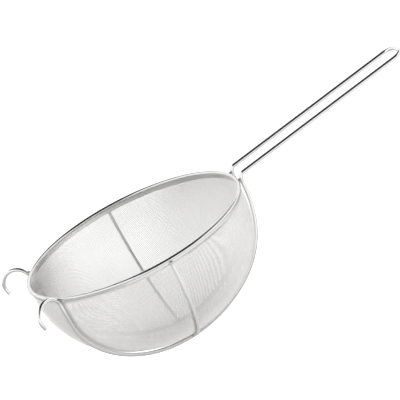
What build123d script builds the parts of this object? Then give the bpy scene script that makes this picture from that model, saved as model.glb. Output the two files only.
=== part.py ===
from build123d import *
from math import acos, asin, atan2, cos, degrees, hypot, radians, sin, sqrt, tan
import os

# A round wire-mesh strainer. The top of the rim is at Z = 0 and its centre is on the Z axis.
# The handle points along +X, the two pot hooks along -X, and the bowl hangs below the rim.
# The part is the same on both sides of the XZ plane, apart from the seam in the rim.

# Rim: a steel strip folded over a core wire, with two skirts that grip the edge of the mesh
rim_diameter = 200.0
bead_diameter = 3.4
strip_thickness = 0.4
core_wire_clearance = 0.1
inner_skirt_depth = 6.4
outer_skirt_depth = 4.2
grip_clearance = 0.05
seam_width = 0.4
seam_angle = 128.0

# Bowl: a drawn sheet of woven wire, about as thick as two of its crossing wires
mesh_thickness = 0.6
mesh_top_clearance = 0.1
bowl_wall_height = 12.0
# The side's arc is centred this far from the axis, and the bottom's arc is flatter than the rim
# is round by this much more radius
side_centre_radius = 20.3
bottom_extra_radius = 11.7
# Openings: a plain square grid that stands in for the fine weave, as on the flat sheet before it
# is drawn down, with a hem left whole under the rim
grid_count = 12
grid_pitch_share = 0.97
grid_bar_width = 6.0
hem_depth = 9.0

# Frame: one bent wire makes the handle, both long ribs and both hooks
frame_wire_diameter = 3.5
frame_to_rim_gap = 0.3
rib_to_mesh_gap = 0.5
leg_half_spacing = 13.3
handle_length = 173.5
handle_rise_angle = 7.5
bend_height = 2.7
bend_radius = 5.5
tip_corner_radius = 9.5
riser_depth = 8.0
hook_half_spacing = 49.8
hook_radius = 13.0
hook_start_depth = 7.4
hook_straight_length = 7.0
hook_sweep_angle = 196.0
hook_corner_count = 4
hook_end_length = 2.5
rib_first_angle = 6.0
rib_step_angle = 12.0
# Half the spacing of the long ribs, as shares of that of the hooks, from the handle to the hooks
rib_spacing_shares = [
    0.31, 0.38, 0.43, 0.43, 0.42, 0.42, 0.43, 0.47, 0.56, 0.67, 0.76, 0.82, 0.87, 0.92,
]
# How much of a straight run the bend at its end may take up
bend_run_share = 0.499

# Side struts: two short wires from the rim down to the long ribs, outside the mesh
strut_wire_diameter = 2.8
strut_to_mesh_gap = 0.2
strut_plane_x = 4.0
strut_top_gap = 0.3
strut_end_gap = 0.3

# Welds: small beads of melted steel where wires meet the rim and each other
frame_weld_diameter = 3.8
frame_weld_stand_off = 0.6
strut_weld_diameter = 3.6

rim_radius = rim_diameter / 2
bead_radius = bead_diameter / 2
core_wire_radius = bead_radius - strip_thickness - core_wire_clearance
mesh_radius = rim_radius - bead_radius
frame_wire_radius = frame_wire_diameter / 2
strut_wire_radius = strut_wire_diameter / 2
half_mesh = mesh_thickness / 2
skirt_inside = half_mesh + grip_clearance
skirt_outside = skirt_inside + strip_thickness
mesh_top = -(bead_radius + core_wire_radius + mesh_top_clearance)

# The side arc runs down from the wall, and the bottom arc, centred on the axis, meets it tangent
bowl_side_radius = mesh_radius - side_centre_radius
bowl_bottom_radius = mesh_radius + bottom_extra_radius
centre_distance = side_centre_radius + bottom_extra_radius
bottom_centre_z = sqrt(centre_distance**2 - side_centre_radius**2) - bowl_wall_height
join_angle = degrees(atan2(bottom_centre_z + bowl_wall_height, side_centre_radius))

# Lengths along the bowl from its lowest point: to the end of the bottom arc, of the side arc and
# to the hem
bottom_length = bowl_bottom_radius * radians(90 - join_angle)
side_length = bottom_length + bowl_side_radius * radians(join_angle)
hem_length = side_length + bowl_wall_height - hem_depth
grid_pitch = 2 * hem_length / grid_count * grid_pitch_share

rib_offset = half_mesh + rib_to_mesh_gap + frame_wire_radius
strut_offset = half_mesh + strut_to_mesh_gap + strut_wire_radius
frame_seat_radius = rim_radius + frame_to_rim_gap + frame_wire_radius


def surface_z(radius, offset):
    """Height of the bowl's middle surface, moved outwards by offset, this far from the axis."""
    side_radius = bowl_side_radius + offset
    bottom_radius = bowl_bottom_radius + offset
    if radius > side_centre_radius + side_radius * cos(radians(join_angle)):
        across = min(radius - side_centre_radius, side_radius)
        return -bowl_wall_height - sqrt(side_radius**2 - across**2)
    return bottom_centre_z - sqrt(bottom_radius**2 - radius**2)


# Woven bowl: straight wall, side arc and bottom arc, drawn outside and inside, turned round Z
with BuildPart() as mesh_bowl:
    with BuildSketch(Plane.XZ):
        with BuildLine():
            for side in (1, -1):
                offset = side * half_mesh
                wall = mesh_radius + offset
                side_reach = bowl_side_radius + offset
                bottom_reach = bowl_bottom_radius + offset
                Line((wall, mesh_top), (wall, -bowl_wall_height))
                CenterArc((side_centre_radius, -bowl_wall_height), side_reach, 0, -join_angle)
                CenterArc((0, bottom_centre_z), bottom_reach, -join_angle, join_angle - 90)
            Line((mesh_radius + half_mesh, mesh_top), (mesh_radius - half_mesh, mesh_top))
            Line(
                (0, bottom_centre_z - bowl_bottom_radius - half_mesh),
                (0, bottom_centre_z - bowl_bottom_radius + half_mesh),
            )
        make_face()
    revolve(axis=Axis.Z)


def bowl_plane(along, across):
    """Plane on the bowl at a place of the flat sheet, with its X axis up the bowl, Z inwards."""
    length = hypot(along, across)
    if length < bottom_length:
        slope = length / bowl_bottom_radius
        radius = bowl_bottom_radius * sin(slope)
        height = bottom_centre_z - bowl_bottom_radius * cos(slope)
    elif length < side_length:
        slope = radians(90 - join_angle) + (length - bottom_length) / bowl_side_radius
        radius = side_centre_radius + bowl_side_radius * sin(slope)
        height = -bowl_wall_height - bowl_side_radius * cos(slope)
    else:
        slope = radians(90)
        radius = mesh_radius
        height = length - side_length - bowl_wall_height
    turn = atan2(across, along)
    return Plane(
        origin=(radius * cos(turn), radius * sin(turn), height),
        x_dir=(cos(slope) * cos(turn), cos(slope) * sin(turn), sin(slope)),
        z_dir=(-sin(slope) * cos(turn), -sin(slope) * sin(turn), cos(slope)),
    )


# Each opening is a four-sided hole straight through the sheet, with its corners on the grid
grid_places = [(step - grid_count / 2) * grid_pitch for step in range(grid_count)]
low, high = grid_bar_width / 2, grid_pitch - grid_bar_width / 2
opening_cutters = []
for along in grid_places:
    for across in grid_places:
        middle = bowl_plane(along + grid_pitch / 2, across + grid_pitch / 2)
        if middle.origin.Z > -hem_depth:
            continue
        corners = [
            middle.to_local_coords(bowl_plane(along + u, across + v).origin)
            for u, v in ((low, low), (high, low), (high, high), (low, high))
        ]
        with BuildSketch(middle) as opening_outline:
            with BuildLine():
                Polyline(*[(p.X, p.Y) for p in corners], close=True)
            make_face()
        opening_cutters.append(extrude(opening_outline.sketch, grid_pitch / 4, both=True))

with BuildPart(mode=Mode.PRIVATE) as mesh_openings:
    add(opening_cutters)
    with Locations((0, 0, -hem_depth)):
        Box(
            2 * rim_diameter,
            2 * rim_diameter,
            rim_diameter,
            align=(Align.CENTER, Align.CENTER, Align.MAX),
            mode=Mode.INTERSECT,
        )
with mesh_bowl:
    add(mesh_openings.part, mode=Mode.SUBTRACT)

# Rim band: the folded strip in section, a hollow bead with a short and a long skirt
with BuildPart() as rim_band:
    with BuildSketch(Plane.XZ):
        with Locations((mesh_radius, -bead_radius)):
            Circle(bead_radius)
        for edge, depth in ((skirt_inside, outer_skirt_depth), (-skirt_outside, inner_skirt_depth)):
            with Locations((mesh_radius + edge, -bead_radius)):
                Rectangle(strip_thickness, depth - bead_radius, align=(Align.MIN, Align.MAX))
        with Locations((mesh_radius, -bead_radius)):
            Circle(bead_radius - strip_thickness, mode=Mode.SUBTRACT)
            Rectangle(
                2 * skirt_inside,
                inner_skirt_depth,
                align=(Align.CENTER, Align.MAX),
                mode=Mode.SUBTRACT,
            )
    revolve(axis=Axis.Z)
    # The two ends of the strip meet at a narrow seam
    with Locations(Location((0, 0, 0), (0, 0, seam_angle))):
        with Locations((mesh_radius, 0, -inner_skirt_depth / 2)):
            Box(2 * bead_diameter, seam_width, 2 * inner_skirt_depth, mode=Mode.SUBTRACT)

# Core wire: a plain ring inside the bead
with BuildPart() as rim_core_wire:
    with BuildSketch(Plane.XZ):
        with Locations((mesh_radius, -bead_radius)):
            Circle(core_wire_radius)
    revolve(axis=Axis.Z)

# Path of one half of the frame wire, from the tip of the handle to the end of a hook
# The corners stand off a little, so that the bends cut across them miss the mesh
rib_corner_push = mesh_radius**2 / bowl_side_radius * (1 / cos(radians(rib_step_angle / 2)) - 1)
rib_reach = mesh_radius + rib_offset + rib_corner_push
bend_x = sqrt(frame_seat_radius**2 - leg_half_spacing**2)
rise = radians(handle_rise_angle)
half_path = [
    Vector(
        bend_x + handle_length * cos(rise),
        leg_half_spacing,
        bend_height + handle_length * sin(rise),
    ),
    Vector(bend_x, leg_half_spacing, bend_height),
    Vector(bend_x, leg_half_spacing, -riser_depth),
]
bend_limits = [tip_corner_radius, bend_radius, rim_radius]
rib_corners = []
for step, share in enumerate(rib_spacing_shares):
    angle = radians(rib_first_angle + step * rib_step_angle)
    rib_y = share * hook_half_spacing
    rib_x = cos(angle) * sqrt(rib_reach**2 - rib_y**2)
    rib_z = surface_z(hypot(rib_x, rib_y), rib_offset + rib_corner_push)
    rib_corners.append(Vector(rib_x, rib_y, rib_z))
half_path += rib_corners
bend_limits += [rim_radius] * len(rib_corners)

# A hook starts upright just inside its seat, touches the rim's bead and turns over outwards
bead_level = hook_start_depth - bead_radius
hook_start_radius = frame_seat_radius - hook_radius + sqrt(hook_radius**2 - bead_level**2)
hook_turn = asin(hook_half_spacing / hook_start_radius)


def hook_point(reach, turned):
    """A point at this reach from the hook's centre, turned from its upright start, in radians."""
    radius = hook_start_radius + hook_radius - reach * cos(turned)
    height = reach * sin(turned) - hook_start_depth
    return Vector(-radius * cos(hook_turn), radius * sin(hook_turn), height)


half_path.append(hook_point(hook_radius, 0) - Vector(0, 0, hook_straight_length))
bend_limits.append(rim_radius)
hook_step = radians(hook_sweep_angle / hook_corner_count)
for corner in range(hook_corner_count):
    half_path.append(hook_point(hook_radius / cos(hook_step / 2), (corner + 0.5) * hook_step))
    bend_limits.append(hook_radius)
hook_sweep = radians(hook_sweep_angle)
hook_end_reach = hypot(hook_radius, hook_end_length)
half_path.append(hook_point(hook_end_reach, hook_sweep + atan2(hook_end_length, hook_radius)))

frame_points = [Vector(p.X, -p.Y, p.Z) for p in reversed(half_path)] + half_path
frame_limits = bend_limits[::-1] + bend_limits
frame_radii = []
for before, corner, after, limit in zip(
    frame_points, frame_points[1:], frame_points[2:], frame_limits
):
    turn = radians((corner - before).get_angle(after - corner))
    shorter_run = min((corner - before).length, (after - corner).length)
    frame_radii.append(min(limit, bend_run_share * shorter_run / tan(turn / 2)))

# Frame wire: handle, ribs and hooks in one sweep
with BuildPart() as frame_wire:
    with BuildLine() as frame_path:
        FilletPolyline(*frame_points, radius=frame_radii)
    with BuildSketch(Plane(origin=frame_path.line @ 0, z_dir=frame_path.line % 0)):
        Circle(frame_wire_radius)
    sweep(path=frame_path.line)

# Side strut: straight beside the rim's skirt, then round the side of the bowl to the long rib
first, second = sorted(rib_corners, key=lambda p: abs(p.X - strut_plane_x))[:2]
rib_slope = (second.Y - first.Y) / (second.X - first.X)
rib_y_at_strut = first.Y + rib_slope * (strut_plane_x - first.X)
strut_end_y = rib_y_at_strut + frame_wire_radius + strut_end_gap
strut_wall = mesh_radius + strut_offset
strut_top = -(outer_skirt_depth + strut_top_gap)
strut_bottom_reach = bowl_bottom_radius + strut_offset
strut_end_angle = degrees(acos(strut_end_y / strut_bottom_reach))
with BuildPart() as side_strut_left:
    with BuildLine(Plane.YZ.offset(strut_plane_x)) as strut_path:
        Line((strut_wall, strut_top), (strut_wall, -bowl_wall_height))
        CenterArc(
            (side_centre_radius, -bowl_wall_height),
            bowl_side_radius + strut_offset,
            0,
            -join_angle,
        )
        CenterArc(
            (0, bottom_centre_z), strut_bottom_reach, -join_angle, join_angle - strut_end_angle
        )
    with BuildSketch(Plane(origin=strut_path.line @ 0, z_dir=strut_path.line % 0)):
        Circle(strut_wire_radius)
    sweep(path=strut_path.line)

with BuildPart() as side_strut_right:
    mirror(side_strut_left.part, about=Plane.XZ)

# Solid outline of the rim and the wall of mesh below it, which the weld beads are cut to
with BuildPart(mode=Mode.PRIVATE) as rim_envelope:
    with BuildSketch(Plane.XZ):
        with Locations((mesh_radius, -bead_radius)):
            Circle(bead_radius)
            Rectangle(
                2 * skirt_outside,
                outer_skirt_depth - bead_radius,
                align=(Align.CENTER, Align.MAX),
            )
            Rectangle(mesh_thickness, bowl_wall_height, align=(Align.CENTER, Align.MAX))
    revolve(axis=Axis.Z)

# Weld beads between the frame wire and the rim, at the legs and at the hooks
leg_turn = degrees(asin(leg_half_spacing / frame_seat_radius))
weld_reach = rim_radius + frame_weld_stand_off
with BuildPart() as leg_welds:
    for turn in (leg_turn, -leg_turn):
        with Locations(Location((0, 0, -bead_radius), (0, 0, turn))):
            with Locations((weld_reach, 0, 0)):
                Sphere(frame_weld_diameter / 2)
    add(rim_envelope.part, mode=Mode.SUBTRACT)
    add(frame_wire.part, mode=Mode.SUBTRACT)

with BuildPart() as hook_welds:
    for turn in (180 - degrees(hook_turn), 180 + degrees(hook_turn)):
        with Locations(Location((0, 0, -bead_radius), (0, 0, turn))):
            with Locations((weld_reach, 0, 0)):
                Sphere(frame_weld_diameter / 2)
    add(rim_envelope.part, mode=Mode.SUBTRACT)
    add(frame_wire.part, mode=Mode.SUBTRACT)

# Weld beads at both ends of the struts
with BuildPart() as strut_rim_welds:
    for side in (1, -1):
        with Locations((strut_plane_x, side * strut_wall, strut_top)):
            Sphere(strut_weld_diameter / 2)
    add(rim_envelope.part, mode=Mode.SUBTRACT)
    add(side_strut_left.part, mode=Mode.SUBTRACT)
    add(side_strut_right.part, mode=Mode.SUBTRACT)

strut_end = strut_path.line @ 1
with BuildPart() as strut_rib_welds:
    for side in (1, -1):
        with Locations((strut_end.X, side * strut_end.Y, strut_end.Z)):
            Sphere(strut_weld_diameter / 2)
    add(mesh_bowl.part, mode=Mode.SUBTRACT)
    add(frame_wire.part, mode=Mode.SUBTRACT)
    add(side_strut_left.part, mode=Mode.SUBTRACT)
    add(side_strut_right.part, mode=Mode.SUBTRACT)

os.makedirs("parts", exist_ok=True)

mesh_bowl.part.label = "mesh_bowl"
export_step(mesh_bowl.part, "parts/mesh_bowl.step")

rim_band.part.label = "rim_band"
export_step(rim_band.part, "parts/rim_band.step")

rim_core_wire.part.label = "rim_core_wire"
export_step(rim_core_wire.part, "parts/rim_core_wire.step")

frame_wire.part.label = "frame_wire"
export_step(frame_wire.part, "parts/frame_wire.step")

side_strut_left.part.label = "side_strut_left"
export_step(side_strut_left.part, "parts/side_strut_left.step")

side_strut_right.part.label = "side_strut_right"
export_step(side_strut_right.part, "parts/side_strut_right.step")

leg_welds.part.label = "leg_welds"
export_step(leg_welds.part, "parts/leg_welds.step")

hook_welds.part.label = "hook_welds"
export_step(hook_welds.part, "parts/hook_welds.step")

strut_rim_welds.part.label = "strut_rim_welds"
export_step(strut_rim_welds.part, "parts/strut_rim_welds.step")

strut_rib_welds.part.label = "strut_rib_welds"
export_step(strut_rib_welds.part, "parts/strut_rib_welds.step")
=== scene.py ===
import math

import bpy
import numpy as np
from mathutils import Matrix, Vector


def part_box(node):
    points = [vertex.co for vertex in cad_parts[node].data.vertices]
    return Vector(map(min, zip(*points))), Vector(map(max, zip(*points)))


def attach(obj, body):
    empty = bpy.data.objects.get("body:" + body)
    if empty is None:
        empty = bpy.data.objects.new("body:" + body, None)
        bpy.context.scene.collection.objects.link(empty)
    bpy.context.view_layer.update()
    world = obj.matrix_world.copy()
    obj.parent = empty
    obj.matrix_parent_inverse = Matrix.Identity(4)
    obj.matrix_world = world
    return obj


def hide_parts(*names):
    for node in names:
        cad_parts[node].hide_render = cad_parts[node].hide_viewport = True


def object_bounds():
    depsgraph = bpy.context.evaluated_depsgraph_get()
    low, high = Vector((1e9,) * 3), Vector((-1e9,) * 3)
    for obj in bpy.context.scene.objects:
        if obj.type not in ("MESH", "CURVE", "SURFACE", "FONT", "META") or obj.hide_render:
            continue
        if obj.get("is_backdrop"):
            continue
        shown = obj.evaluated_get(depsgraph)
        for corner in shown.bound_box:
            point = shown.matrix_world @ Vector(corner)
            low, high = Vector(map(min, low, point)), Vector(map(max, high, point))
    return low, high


bl_info = {
    "name": "Mesh Strainer",
    "version": (1, 0, 0),
    "blender": (4, 5, 0),
    "location": "View3D > Sidebar > Strainer",
    "description": "Builds a wire mesh strainer with a loop handle and pot hooks",
    "category": "Add Mesh",
}

MM = 0.001

# How a flat woven sheet lies over the bowl without stretching its wires: how far out a crossing
# goes and how it turns, with the flat distance from the middle taken in shares of DRAPE_LENGTH
DRAPE_LENGTH = 150 * MM
SHEET_REACH = 160 * MM
DRAPE_GROWTH = (0.0821, -0.0091)
DRAPE_DIAMOND = (-0.0704, 0.0014)
DRAPE_TWIST = (-0.0611, -0.0617)

# The weave's wires have a square section of about the area of a round one. This is half its
# side, as a share of the wire's diameter
HALF_SIDE = 0.45
# The part of a wire's tone that is the same all along it. The rest differs at each crossing
WHOLE_WIRE_TONE = 0.3
# The darkest and the lightest tone of a wire, as shares of its colour
TONE_RANGE = (0.88, 1.04)
# The woven wires are shared out to pieces of about this many triangles at most
PIECE_TRIANGLES = 170000
SPACING_SEED = 3
TONE_SEED = 7

# Smudges on the steel: the values of the noise between which they grow from least to most, how
# fine they are on polished steel and on the woven cloth, and how much finer the grain is
SMUDGE_NOISE = (0.35, 0.65)
POLISH_SCALE = 90.0
CLOTH_SCALE = 40.0
GRAIN_FINENESS = 12.0
BUMP_STRENGTH = 0.4
# How far the heat tint reaches from the middle of a weld
WELD_REACH = 4.5 * MM

# The floor's colour and its own glow make it white to the camera, and it lights dull surfaces at
# a plain level. The steel mirrors it duller, up to where it turns white in front: between the two
# edges, which are measured along the direction that points backwards. The duller glow is a painted
# shade, which stands in for the strainer's own shadow on the floor as the steel mirrors it
FLOOR_SIZE = 30.0
FLOOR_COLOR = (0.9, 0.9, 0.9)
FLOOR_ROUGHNESS = 0.9
FLOOR_GLOW = 0.84
FLOOR_LIGHT = 0.69
BACKWARDS = (-0.5, 1.0, 0.0)
FRONT_EDGES = (-0.07, -0.29)

# The mirrored room: white walls that end between these two heights under a dark ceiling, and
# where they stand higher, as the axis, the start and end of the rise along it, and its height
WALL_TOP = (0.1, 0.34)
CEILING = 0.04
WALL_RISES = (("Y", 0.4, 0.75, 0.32), ("X", -0.15, -0.5, 0.9), ("X", 0.62, 0.8, 0.5))
# The level at which the world lights dull surfaces
WORLD_LIGHT = 0.12

# Each lamp's name, power in watts, width and place
LAMPS = (
    ("hook_side_light", 67.0, 1.2, (-2.2, 0.4, 0.75)),
    ("front_light", 33.0, 0.4, (0.75, -2.2, 0.05)),
    ("handle_side_light", 10.0, 0.6, (2.1, 0.9, 0.8)),
)
SENSOR_WIDTH = 36.0
VIEW_END = 100.0

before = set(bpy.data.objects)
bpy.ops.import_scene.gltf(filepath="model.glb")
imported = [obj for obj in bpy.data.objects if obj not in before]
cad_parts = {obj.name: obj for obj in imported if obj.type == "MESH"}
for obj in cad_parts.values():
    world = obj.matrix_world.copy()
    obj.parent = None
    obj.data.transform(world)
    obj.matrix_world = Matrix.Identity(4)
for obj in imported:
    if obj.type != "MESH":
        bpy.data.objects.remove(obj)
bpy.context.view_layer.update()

# The bowl's node gives the mesh's outer radius and its top edge
BOWL_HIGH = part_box("mesh_bowl")[1]


# Small helpers for nodes and materials

def node_group(name, inputs, outputs):
    """A new shader node group, with its sockets given as pairs of a name and a type."""
    group = bpy.data.node_groups.new(name, "ShaderNodeTree")
    for direction, sockets in (("INPUT", inputs), ("OUTPUT", outputs)):
        for label, kind in sockets:
            group.interface.new_socket(label, in_out=direction, socket_type=kind)
    return group, group.nodes, group.links


def fill(links, socket, value):
    """Sets a socket to a number, or links another socket to it."""
    if isinstance(value, (int, float)):
        socket.default_value = value
    else:
        links.new(value, socket)


def math_result(nodes, links, operation, *values, clamp=False):
    """What a Math node makes of these numbers or sockets."""
    node = nodes.new("ShaderNodeMath")
    node.operation = operation
    node.use_clamp = clamp
    for socket, value in zip(node.inputs, values):
        fill(links, socket, value)
    return node.outputs[0]


def ramp(nodes, links, value, span, results, smooth=True):
    """Goes from the first result to the second while the value crosses its span."""
    node = nodes.new("ShaderNodeMapRange")
    if smooth:
        node.interpolation_type = "SMOOTHSTEP"
    links.new(value, node.inputs["Value"])
    labels = ("From Min", "From Max", "To Min", "To Max")
    for label, number in zip(labels, (*span, *results)):
        fill(links, node.inputs[label], number)
    return node.outputs["Result"]


def mixed(nodes, links, share, first, second):
    """A mix of two numbers or sockets."""
    node = nodes.new("ShaderNodeMix")
    node.data_type = "FLOAT"
    links.new(share, node.inputs["Factor"])
    fill(links, node.inputs["A"], first)
    fill(links, node.inputs["B"], second)
    return node.outputs["Result"]


def smudge_group():
    """Soft uneven patches, as handling leaves on polished steel, and a finer grain."""
    group, nodes, links = node_group(
        "Polish Smudges",
        (
            ("Vector", "NodeSocketVector"),
            ("Scale", "NodeSocketFloat"),
            ("Low", "NodeSocketFloat"),
            ("High", "NodeSocketFloat"),
        ),
        (("Value", "NodeSocketFloat"), ("Grain", "NodeSocketFloat")),
    )
    given = nodes.new("NodeGroupInput").outputs
    result = nodes.new("NodeGroupOutput").inputs
    patches = nodes.new("ShaderNodeTexNoise")
    patches.inputs["Detail"].default_value = 3.0
    links.new(given["Vector"], patches.inputs["Vector"])
    links.new(given["Scale"], patches.inputs["Scale"])
    levels = (given["Low"], given["High"])
    patch_level = ramp(nodes, links, patches.outputs["Fac"], SMUDGE_NOISE, levels, smooth=False)
    links.new(patch_level, result["Value"])
    grain = nodes.new("ShaderNodeTexNoise")
    grain.inputs["Detail"].default_value = 2.0
    links.new(given["Vector"], grain.inputs["Vector"])
    finer = math_result(nodes, links, "MULTIPLY", given["Scale"], GRAIN_FINENESS)
    links.new(finer, grain.inputs["Scale"])
    links.new(grain.outputs["Fac"], result["Grain"])
    return group


def weld_places():
    """The middles of the weld beads on the strainer's +Y side, from the CAD nodes."""
    places = []
    for name in ("leg_welds", "hook_welds", "strut_rim_welds", "strut_rib_welds"):
        points = [v.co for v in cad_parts[name].data.vertices if v.co.y > 0]
        places.append(sum(points, Vector()) / len(points))
    return places


def heat_group():
    """A mask that is 1 at the welds and fades along the wires, as heat tint does."""
    group, nodes, links = node_group(
        "Weld Heat",
        (("Vector", "NodeSocketVector"), ("Reach", "NodeSocketFloat")),
        (("Mask", "NodeSocketFloat"),),
    )
    given = nodes.new("NodeGroupInput").outputs
    result = nodes.new("NodeGroupOutput").inputs
    parts = nodes.new("ShaderNodeSeparateXYZ")
    links.new(given["Vector"], parts.inputs[0])
    # Both halves of the strainer are alike, so the distance is taken with Y made positive
    point = nodes.new("ShaderNodeCombineXYZ")
    links.new(parts.outputs["X"], point.inputs["X"])
    links.new(math_result(nodes, links, "ABSOLUTE", parts.outputs["Y"]), point.inputs["Y"])
    links.new(parts.outputs["Z"], point.inputs["Z"])
    nearest = None
    for place in weld_places():
        distance = nodes.new("ShaderNodeVectorMath")
        distance.operation = "DISTANCE"
        distance.inputs[1].default_value = place
        links.new(point.outputs[0], distance.inputs[0])
        away = distance.outputs["Value"]
        if nearest is None:
            nearest = away
        else:
            nearest = math_result(nodes, links, "MINIMUM", nearest, away)
    share = math_result(nodes, links, "DIVIDE", nearest, given["Reach"])
    links.new(ramp(nodes, links, share, (0.0, 1.0), (1.0, 0.0)), result["Mask"])
    return group


def shared_group(name):
    """The node group of this name, built the first time it is asked for."""
    makers = {"Polish Smudges": smudge_group, "Weld Heat": heat_group}
    return bpy.data.node_groups.get(name) or makers[name]()


def new_material(name, color, metallic):
    """A Principled material with this viewport colour, and its nodes, links and shader."""
    material = bpy.data.materials.new(name)
    material.use_nodes = True
    material.diffuse_color = (*color, 1.0)
    nodes = material.node_tree.nodes
    shader = nodes["Principled BSDF"]
    shader.inputs["Metallic"].default_value = metallic
    return material, nodes, material.node_tree.links, shader


def place_group(nodes, links, name, vector, **values):
    """The outputs of a shared group placed in a material, with its vector and values."""
    node = nodes.new("ShaderNodeGroup")
    node.node_tree = shared_group(name)
    links.new(vector, node.inputs["Vector"])
    for label, value in values.items():
        node.inputs[label].default_value = value
    return node.outputs


def polished_material(name, color, roughness, heat_color, bump_depth, metallic=1.0):
    """Polished steel with smudges, heat tint at the welds and a very fine unevenness."""
    material, nodes, links, shader = new_material(name, color, metallic)
    where = nodes.new("ShaderNodeTexCoord").outputs["Object"]
    low, high = roughness
    smudges = place_group(
        nodes, links, "Polish Smudges", where, Scale=POLISH_SCALE, Low=low, High=high
    )
    links.new(smudges["Value"], shader.inputs["Roughness"])
    heat = place_group(nodes, links, "Weld Heat", where, Reach=WELD_REACH)
    tint = nodes.new("ShaderNodeMix")
    tint.data_type = "RGBA"
    tint.inputs["A"].default_value = (*color, 1.0)
    tint.inputs["B"].default_value = (*heat_color, 1.0)
    links.new(heat["Mask"], tint.inputs["Factor"])
    links.new(tint.outputs["Result"], shader.inputs["Base Color"])
    bump = nodes.new("ShaderNodeBump")
    bump.inputs["Strength"].default_value = BUMP_STRENGTH
    bump.inputs["Distance"].default_value = bump_depth
    links.new(smudges["Grain"], bump.inputs["Height"])
    links.new(bump.outputs["Normal"], shader.inputs["Normal"])
    return material


def dress(material, *node_names):
    """Gives this material to CAD nodes, and leaves their meshes as they are."""
    for node_name in node_names:
        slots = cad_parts[node_name].data.materials
        slots.clear()
        slots.append(material)


# The bowl's surface

def bowl_section(look):
    """The surface's section: the side arc's centre, the bottom arc's centre height and the angle
    below the horizon at which the two arcs meet."""
    wall = BOWL_HIGH.x - look.mesh_thickness / 2
    side_centre = wall - look.side_radius
    bottom_centre = look.side_height + math.sqrt(
        (look.bottom_radius - look.side_radius) ** 2 - side_centre**2
    )
    join = math.atan2(bottom_centre - look.side_height, side_centre)
    return side_centre, bottom_centre, join


def at_length(look, away):
    """Radius, height and outward normal of the section, this far along it from its lowest point."""
    side_centre, bottom_centre, join = bowl_section(look)
    bottom_run = look.bottom_radius * (math.pi / 2 - join)
    side_run = look.side_radius * join
    on_bottom = away < bottom_run
    angle = np.where(
        on_bottom,
        away / look.bottom_radius - math.pi / 2,
        np.minimum((away - bottom_run) / look.side_radius - join, 0.0),
    )
    arc = np.where(on_bottom, look.bottom_radius, look.side_radius)
    ring = np.where(on_bottom, 0.0, side_centre) + arc * np.cos(angle)
    height = np.where(on_bottom, bottom_centre, look.side_height) + arc * np.sin(angle)
    height = height + np.maximum(away - bottom_run - side_run, 0.0)
    return ring, height, np.cos(angle), np.sin(angle)


def drape_cloth(look):
    """Every wire crossing of a flat woven sheet, laid over the bowl, with the outward normals.
    The wires keep their spacing and shear past each other, so the openings turn from squares to
    diamonds towards the rim, between the two directions of the wires."""
    half = int(SHEET_REACH / look.mesh_pitch)
    steps = (np.arange(-half, half + 1) + 0.5) * look.mesh_pitch
    random = np.random.default_rng(SPACING_SEED)
    uneven = random.normal(0.0, look.weave_unevenness, (2, len(steps)))
    flat_x, flat_y = np.meshgrid(steps + uneven[0], steps + uneven[1], indexing="ij")
    flat_away = np.hypot(flat_x, flat_y)
    flat_turn = np.arctan2(flat_y, flat_x)
    q = (flat_away / DRAPE_LENGTH) ** 2
    growth = DRAPE_GROWTH[0] * q + DRAPE_GROWTH[1] * q**2
    diamond = DRAPE_DIAMOND[0] * q + DRAPE_DIAMOND[1] * q**2
    twist = DRAPE_TWIST[0] * q + DRAPE_TWIST[1] * q**2
    away = flat_away * (1 + growth + diamond * np.cos(4 * flat_turn))
    turn = flat_turn - twist * np.sin(4 * flat_turn) + look.weave_angle
    ring, height, out, up = at_length(look, away)
    along_x, along_y = np.cos(turn), np.sin(turn)
    crossings = np.stack([along_x * ring, along_y * ring, height], axis=-1)
    normals = np.stack([along_x * out, along_y * out, up], axis=-1)
    inside = (height < BOWL_HIGH.z) & (flat_away < SHEET_REACH)
    return crossings, normals, inside


def wire_runs(inside):
    """Start and end of each unbroken run of crossings that lie in the bowl."""
    padded = np.concatenate([[False], inside, [False]])
    edges = np.flatnonzero(padded[1:] != padded[:-1])
    return list(zip(edges[::2], edges[1::2]))


def weave_lines(look):
    """For each direction, the wires as lines of points, normals and tones. They pass over and
    under each other by turns."""
    crossings, normals, inside = drape_cloth(look)
    if not inside.any():
        raise RuntimeError("the woven sheet doesn't reach the bowl")
    count = len(crossings)
    side = np.add.outer(np.arange(count), np.arange(count)) % 2 * 2 - 1
    lift = normals * (side * look.mesh_wire / 2)[:, :, None]
    random = np.random.default_rng(TONE_SEED)
    sheets = {
        "warp": (crossings + lift, normals, inside),
        "weft": ((crossings - lift).transpose(1, 0, 2), normals.transpose(1, 0, 2), inside.T),
    }
    for direction, (points, facing, keep) in sheets.items():
        lines = []
        for row in range(count):
            tone = WHOLE_WIRE_TONE * random.random()
            tone = tone + (1 - WHOLE_WIRE_TONE) * random.random(count)
            for start, end in wire_runs(keep[row]):
                if end - start > 2:
                    run = slice(start, end)
                    lines.append((points[row, run], facing[row, run], tone[run]))
        yield direction, lines


def pieces_needed(lines):
    """How many pieces these wires are shared out to, so that each piece stays light."""
    triangles = sum(8 * len(points) for points, _, _ in lines)
    return math.ceil(triangles / PIECE_TRIANGLES)


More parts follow.
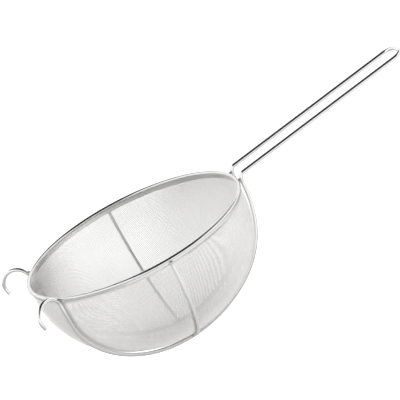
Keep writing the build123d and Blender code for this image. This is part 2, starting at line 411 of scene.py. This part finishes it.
def wires_mesh(name, lines, half_side):
    """One mesh of square-section wires, each along its own line of points, normals and tones."""
    corners = [(1, 1), (-1, 1), (-1, -1), (1, -1)]
    vertices, faces, tones = [], [], []
    base = 0
    for points, normals, tone in lines:
        tangents = np.gradient(points, axis=0)
        tangents /= np.linalg.norm(tangents, axis=1)[:, None]
        across = np.cross(tangents, normals)
        across /= np.linalg.norm(across, axis=1)[:, None]
        up = np.cross(across, tangents)
        rings = [points + (across * a + up * b) * half_side for a, b in corners]
        vertices.append(np.stack(rings, axis=1).reshape(-1, 3))
        count = len(points)
        start = base + 4 * np.arange(count - 1)[:, None]
        for k in range(4):
            n = (k + 1) % 4
            sides = [start + k, start + 4 + k, start + 4 + n, start + n]
            faces.append(np.concatenate(sides, axis=1))
        last = base + 4 * (count - 1)
        faces.append(np.array([[base, base + 1, base + 2, base + 3]]))
        faces.append(np.array([[last + 3, last + 2, last + 1, last]]))
        tones.append(np.repeat(tone, 4))
        base += 4 * count
    mesh = bpy.data.meshes.new(name)
    vertices = np.concatenate(vertices)
    faces = np.concatenate(faces)
    mesh.vertices.add(len(vertices))
    mesh.vertices.foreach_set("co", vertices.astype(np.float32).ravel())
    mesh.loops.add(faces.size)
    mesh.loops.foreach_set("vertex_index", faces.astype(np.int32).ravel())
    mesh.polygons.add(len(faces))
    mesh.polygons.foreach_set("loop_start", np.arange(0, faces.size, 4, dtype=np.int32))
    mesh.polygons.foreach_set("use_smooth", np.ones(len(faces), bool))
    mesh.update(calc_edges=True)
    mesh.validate()
    attribute = mesh.attributes.new("wire_tone", "FLOAT", "POINT")
    attribute.data.foreach_set("value", np.concatenate(tones).astype(np.float32))
    piece = bpy.data.objects.new(name, mesh)
    bpy.context.scene.collection.objects.link(piece)
    return piece


def weave_material(look):
    """Drawn steel wire: each wire has its own tones, with faint patches over the whole cloth."""
    color = tuple(look.mesh_color)
    material, nodes, links, shader = new_material("Woven Steel Wire", color, 0.1)
    where = nodes.new("ShaderNodeTexCoord").outputs["Object"]
    smudges = place_group(
        nodes, links, "Polish Smudges", where, Scale=CLOTH_SCALE, Low=0.45, High=0.6
    )
    links.new(smudges["Value"], shader.inputs["Roughness"])
    tone = nodes.new("ShaderNodeAttribute")
    tone.attribute_name = "wire_tone"
    level = ramp(nodes, links, tone.outputs["Fac"], (0.0, 1.0), TONE_RANGE, smooth=False)
    shade = nodes.new("ShaderNodeVectorMath")
    shade.operation = "SCALE"
    shade.inputs[0].default_value = color
    links.new(level, shade.inputs["Scale"])
    links.new(shade.outputs["Vector"], shader.inputs["Base Color"])
    return material


# Settings that a user would change

def length_setting(name, description, default, **limits):
    """A length that shows in the scene's units."""
    return bpy.props.FloatProperty(
        name=name,
        description=description,
        default=default,
        precision=5,
        subtype="DISTANCE",
        unit="LENGTH",
        **limits,
    )


def angle_setting(name, description, degrees):
    """An angle, given here in degrees."""
    return bpy.props.FloatProperty(
        name=name,
        description=description,
        default=math.radians(degrees),
        subtype="ANGLE",
        unit="ROTATION",
    )


def color_setting(name, description, default):
    """A colour that can be picked."""
    return bpy.props.FloatVectorProperty(
        name=name,
        description=description,
        subtype="COLOR",
        default=default,
        min=0.0,
        max=1.0,
    )


class StrainerBowl(bpy.types.PropertyGroup):
    """Sizes and colour of the woven bowl"""

    mesh_pitch: length_setting(
        "Mesh pitch", "Distance from one wire of the weave to the next", 1.3 * MM, min=0.5 * MM
    )
    mesh_wire: length_setting("Mesh wire", "Diameter of the weave's wire", 0.35 * MM)
    mesh_thickness: length_setting(
        "Mesh thickness", "Thickness of the woven sheet over two crossing wires", 0.6 * MM
    )
    weave_unevenness: length_setting(
        "Weave unevenness", "How far single wires lie out of their even spacing", 0.06 * MM
    )
    weave_angle: angle_setting(
        "Weave angle", "Turn of the weave's wires from the handle's direction", 8.0
    )
    side_radius: length_setting("Side radius", "Radius of the bowl's side in section", 78 * MM)
    side_height: length_setting(
        "Side height", "Height of the side arc's centre, where the straight wall ends", -12 * MM
    )
    bottom_radius: length_setting(
        "Bottom radius", "Radius of the bowl's bottom in section", 110 * MM
    )
    mesh_color: color_setting("Mesh colour", "Colour of the weave's wire", (0.9, 0.895, 0.88))


class StrainerMetal(bpy.types.PropertyGroup):
    """Colours of the wires, the rim and the welds"""

    wire_color: color_setting(
        "Wire colour", "Colour of the polished frame wire", (0.93, 0.93, 0.93)
    )
    strut_color: color_setting(
        "Strut colour", "Colour of the duller side struts", (0.95, 0.95, 0.94)
    )
    rim_color: color_setting("Rim colour", "Colour of the folded rim strip", (0.87, 0.87, 0.87))
    core_color: color_setting(
        "Core colour", "Colour of the wire inside the rim", (0.55, 0.55, 0.55)
    )
    weld_color: color_setting("Weld colour", "Colour of the weld beads", (0.66, 0.64, 0.61))
    pale_weld_color: color_setting(
        "Pale weld colour", "Colour of the beads between the struts and the rim", (0.85, 0.84, 0.82)
    )
    heat_color: color_setting(
        "Heat tint", "Colour of the frame wire and the welds close to a weld", (0.5, 0.48, 0.45)
    )
    faint_heat_color: color_setting(
        "Faint heat tint", "Colour of the struts and the rim close to a weld", (0.78, 0.77, 0.75)
    )


class StrainerStage(bpy.types.PropertyGroup):
    """Floor, lights and camera"""

    floor_gap: length_setting(
        "Floor gap", "Distance from the strainer's lowest point to the floor", 0.2 * MM
    )
    # The floor's duller mirrored glow is a painted shade of the strainer's shadow on the floor
    mirrored_floor_shade: bpy.props.FloatProperty(
        name="Floor reflection",
        description="Brightness of the floor's duller part, as the steel mirrors it",
        default=0.52,
        min=0.0,
        max=1.0,
    )
    camera_azimuth: angle_setting(
        "Camera azimuth", "Direction of the camera round the strainer", -8.754
    )
    camera_elevation: angle_setting(
        "Camera elevation", "Height of the camera above the horizon, as an angle", 18.794
    )
    camera_roll: angle_setting("Camera roll", "Turn of the camera about its own axis", 27.029)
    camera_distance: length_setting(
        "Camera distance", "Distance of the camera from the rim's centre, along its view", 3.51
    )
    camera_right: length_setting("Camera right", "Shift of the camera to its own right", 56.6 * MM)
    camera_up: length_setting(
        "Camera up", "Shift of the camera upwards in its own frame", 28.13 * MM
    )
    camera_lens: bpy.props.FloatProperty(
        name="Camera lens", description="Focal length in millimetres", default=375.9
    )


# One operator for each group of pieces

class STRAINER_OT_finish_wires(bpy.types.Operator):
    """Gives the frame wire its polish and both struts their duller finish"""

    bl_idname = "strainer.finish_wires"
    bl_label = "Finish Wires"

    def execute(self, context):
        look = context.scene.strainer_metal
        bright = polished_material(
            "Polished Wire", tuple(look.wire_color), (0.07, 0.16), tuple(look.heat_color), 0.02 * MM
        )
        dress(bright, "frame_wire")
        drawn = polished_material(
            "Drawn Strut Wire",
            tuple(look.strut_color),
            (0.3, 0.42),
            tuple(look.faint_heat_color),
            0.02 * MM,
            metallic=0.68,
        )
        dress(drawn, "side_strut_left", "side_strut_right")
        return {"FINISHED"}


class STRAINER_OT_finish_rim(bpy.types.Operator):
    """Gives the folded rim strip and its core wire their finish"""

    bl_idname = "strainer.finish_rim"
    bl_label = "Finish Rim"

    def execute(self, context):
        look = context.scene.strainer_metal
        strip = polished_material(
            "Rim Strip", tuple(look.rim_color), (0.08, 0.2), tuple(look.faint_heat_color), 0.06 * MM
        )
        dress(strip, "rim_band")
        core = polished_material(
            "Core Wire", tuple(look.core_color), (0.3, 0.45), tuple(look.heat_color), 0.02 * MM
        )
        dress(core, "rim_core_wire")
        return {"FINISHED"}


class STRAINER_OT_finish_welds(bpy.types.Operator):
    """Gives the weld beads their rough finish, which is paler between the struts and the rim"""

    bl_idname = "strainer.finish_welds"
    bl_label = "Finish Welds"

    def execute(self, context):
        look = context.scene.strainer_metal
        metal = polished_material(
            "Weld Metal", tuple(look.weld_color), (0.3, 0.5), tuple(look.heat_color), 0.1 * MM
        )
        dress(metal, "leg_welds", "hook_welds", "strut_rib_welds")
        ground = polished_material(
            "Ground Weld",
            tuple(look.pale_weld_color),
            (0.3, 0.5),
            tuple(look.faint_heat_color),
            0.05 * MM,
        )
        dress(ground, "strut_rim_welds")
        return {"FINISHED"}


class STRAINER_OT_weave_bowl(bpy.types.Operator):
    """Weaves the bowl of single wires that pass over and under each other"""

    bl_idname = "strainer.weave_bowl"
    bl_label = "Weave Bowl"

    def execute(self, context):
        look = context.scene.strainer_bowl
        material = weave_material(look)
        for direction, lines in weave_lines(look):
            shares = np.array_split(np.arange(len(lines)), pieces_needed(lines))
            for number, members in enumerate(shares):
                chosen = [lines[i] for i in members]
                piece = wires_mesh(
                    f"mesh_{direction}_{number + 1}", chosen, look.mesh_wire * HALF_SIDE
                )
                piece.data.materials.append(material)
                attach(piece, "root")
                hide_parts("mesh_bowl")
        return {"FINISHED"}


class STRAINER_OT_set_stage(bpy.types.Operator):
    """Sets up the floor, the lights and the camera"""

    bl_idname = "strainer.set_stage"
    bl_label = "Set Stage"

    def execute(self, context):
        look = context.scene.strainer_stage
        add_floor(look)
        light_world(context.scene)
        for name, power, width, place in LAMPS:
            add_lamp(name, power, width, Vector(place))
        add_camera(context.scene, look)
        context.scene.view_settings.view_transform = "Standard"
        return {"FINISHED"}


def add_floor(look):
    """A white floor just under the bowl, which keeps a soft shadow. The steel mirrors it white in
    front and duller elsewhere, where its glow is a painted shade of the strainer's shadow."""
    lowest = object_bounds()[0].z - look.floor_gap
    bpy.ops.mesh.primitive_plane_add(size=FLOOR_SIZE, location=(0, 0, lowest))
    floor = bpy.context.active_object
    floor.name = "floor"
    material, nodes, links, shader = new_material("Floor", FLOOR_COLOR, 0.0)
    shader.inputs["Base Color"].default_value = (*FLOOR_COLOR, 1.0)
    shader.inputs["Roughness"].default_value = FLOOR_ROUGHNESS
    shader.inputs["Specular IOR Level"].default_value = 0.0
    glow = nodes.new("ShaderNodeEmission")
    glow.inputs["Strength"].default_value = FLOOR_GLOW
    seen = nodes.new("ShaderNodeAddShader")
    links.new(glow.outputs[0], seen.inputs[0])
    links.new(shader.outputs[0], seen.inputs[1])
    where = nodes.new("ShaderNodeTexCoord").outputs["Object"]
    behind = nodes.new("ShaderNodeVectorMath")
    behind.operation = "DOT_PRODUCT"
    behind.inputs[1].default_value = BACKWARDS
    links.new(where, behind.inputs[0])
    # Behind the front edges the floor glows duller to the steel: a painted shade of the strainer's
    # shadow
    levels = (look.mirrored_floor_shade, 1.0)
    level = ramp(nodes, links, behind.outputs["Value"], FRONT_EDGES, levels)
    mirrored = nodes.new("ShaderNodeEmission")
    links.new(level, mirrored.inputs["Strength"])
    plain = nodes.new("ShaderNodeEmission")
    plain.inputs["Strength"].default_value = FLOOR_LIGHT
    path = nodes.new("ShaderNodeLightPath").outputs
    lighting = nodes.new("ShaderNodeMixShader")
    links.new(path["Is Glossy Ray"], lighting.inputs["Fac"])
    links.new(plain.outputs[0], lighting.inputs[1])
    links.new(mirrored.outputs[0], lighting.inputs[2])
    direct = math_result(
        nodes, links, "ADD", path["Is Camera Ray"], path["Is Transmission Ray"], clamp=True
    )
    chosen = nodes.new("ShaderNodeMixShader")
    links.new(direct, chosen.inputs["Fac"])
    links.new(lighting.outputs[0], chosen.inputs[1])
    links.new(seen.outputs[0], chosen.inputs[2])
    links.new(chosen.outputs[0], nodes["Material Output"].inputs["Surface"])
    floor.data.materials.append(material)
    floor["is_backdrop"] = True


def light_world(scene):
    """White walls under a dark ceiling, which the polished wires mirror as a dark line along their
    tops. The world is white to the camera, and lights dull surfaces plainly."""
    world = bpy.data.worlds.new("Studio")
    scene.world = world
    world.use_nodes = True
    nodes, links = world.node_tree.nodes, world.node_tree.links
    background = nodes["Background"]
    background.inputs["Color"].default_value = (1, 1, 1, 1)
    parts = nodes.new("ShaderNodeSeparateXYZ")
    links.new(nodes.new("ShaderNodeTexCoord").outputs["Generated"], parts.inputs[0])
    height = parts.outputs["Z"]
    for axis, start, end, rise in WALL_RISES:
        lift = ramp(nodes, links, parts.outputs[axis], (start, end), (0.0, rise))
        height = math_result(nodes, links, "SUBTRACT", height, lift)
    room = ramp(nodes, links, height, WALL_TOP, (1.0, CEILING))
    path = nodes.new("ShaderNodeLightPath").outputs
    lighting = mixed(nodes, links, path["Is Glossy Ray"], WORLD_LIGHT, room)
    strength = mixed(nodes, links, path["Is Camera Ray"], lighting, 1.0)
    links.new(strength, background.inputs["Strength"])


def add_lamp(name, power, width, place):
    """A soft round lamp that points at the strainer and isn't mirrored in the steel."""
    data = bpy.data.lights.new(name, "AREA")
    data.shape = "DISK"
    data.size = width
    data.energy = power
    lamp = bpy.data.objects.new(name, data)
    lamp.visible_glossy = False
    bpy.context.scene.collection.objects.link(lamp)
    aim = (-place).to_track_quat("-Z", "Y").to_matrix().to_4x4()
    lamp.matrix_world = Matrix.Translation(place) @ aim


def add_camera(scene, look):
    """The camera at the reference view, which is turned about its own axis."""
    azimuth, elevation, roll = look.camera_azimuth, look.camera_elevation, look.camera_roll
    forward = Vector(
        (
            -math.sin(azimuth) * math.cos(elevation),
            math.cos(azimuth) * math.cos(elevation),
            -math.sin(elevation),
        )
    )
    level = forward.cross(Vector((0, 0, 1))).normalized()
    upright = level.cross(forward)
    right = math.cos(roll) * level - math.sin(roll) * upright
    up = math.sin(roll) * level + math.cos(roll) * upright
    data = bpy.data.cameras.new("camera")
    data.lens = look.camera_lens
    data.sensor_width = SENSOR_WIDTH
    data.clip_end = VIEW_END
    camera = bpy.data.objects.new("camera", data)
    scene.collection.objects.link(camera)
    place = right * look.camera_right + up * look.camera_up - forward * look.camera_distance
    turn = Matrix((right, up, -forward)).transposed().to_4x4()
    camera.matrix_world = Matrix.Translation(place) @ turn
    scene.camera = camera


class STRAINER_PT_panel(bpy.types.Panel):
    """Lists the steps that build the strainer, and its settings"""

    bl_label = "Mesh Strainer"
    bl_idname = "STRAINER_PT_panel"
    bl_space_type = "VIEW_3D"
    bl_region_type = "UI"
    bl_category = "Strainer"

    def draw(self, context):
        for step in STEPS:
            self.layout.operator(step.bl_idname)
        for settings in ("strainer_bowl", "strainer_metal", "strainer_stage"):
            group = getattr(context.scene, settings)
            box = self.layout.box()
            for name in group.__annotations__:
                box.prop(group, name)


STEPS = (
    STRAINER_OT_finish_wires,
    STRAINER_OT_finish_rim,
    STRAINER_OT_finish_welds,
    STRAINER_OT_weave_bowl,
    STRAINER_OT_set_stage,
)
CLASSES = (StrainerBowl, StrainerMetal, StrainerStage, *STEPS, STRAINER_PT_panel)


def register():
    for entry in CLASSES:
        bpy.utils.register_class(entry)
    bpy.types.Scene.strainer_bowl = bpy.props.PointerProperty(type=StrainerBowl)
    bpy.types.Scene.strainer_metal = bpy.props.PointerProperty(type=StrainerMetal)
    bpy.types.Scene.strainer_stage = bpy.props.PointerProperty(type=StrainerStage)


def unregister():
    del bpy.types.Scene.strainer_stage
    del bpy.types.Scene.strainer_metal
    del bpy.types.Scene.strainer_bowl
    for entry in reversed(CLASSES):
        bpy.utils.unregister_class(entry)


def main():
    register()
    bpy.ops.strainer.finish_wires()
    bpy.ops.strainer.finish_rim()
    bpy.ops.strainer.finish_welds()
    bpy.ops.strainer.weave_bowl()
    bpy.ops.strainer.set_stage()


if __name__ == "__main__":
    main()
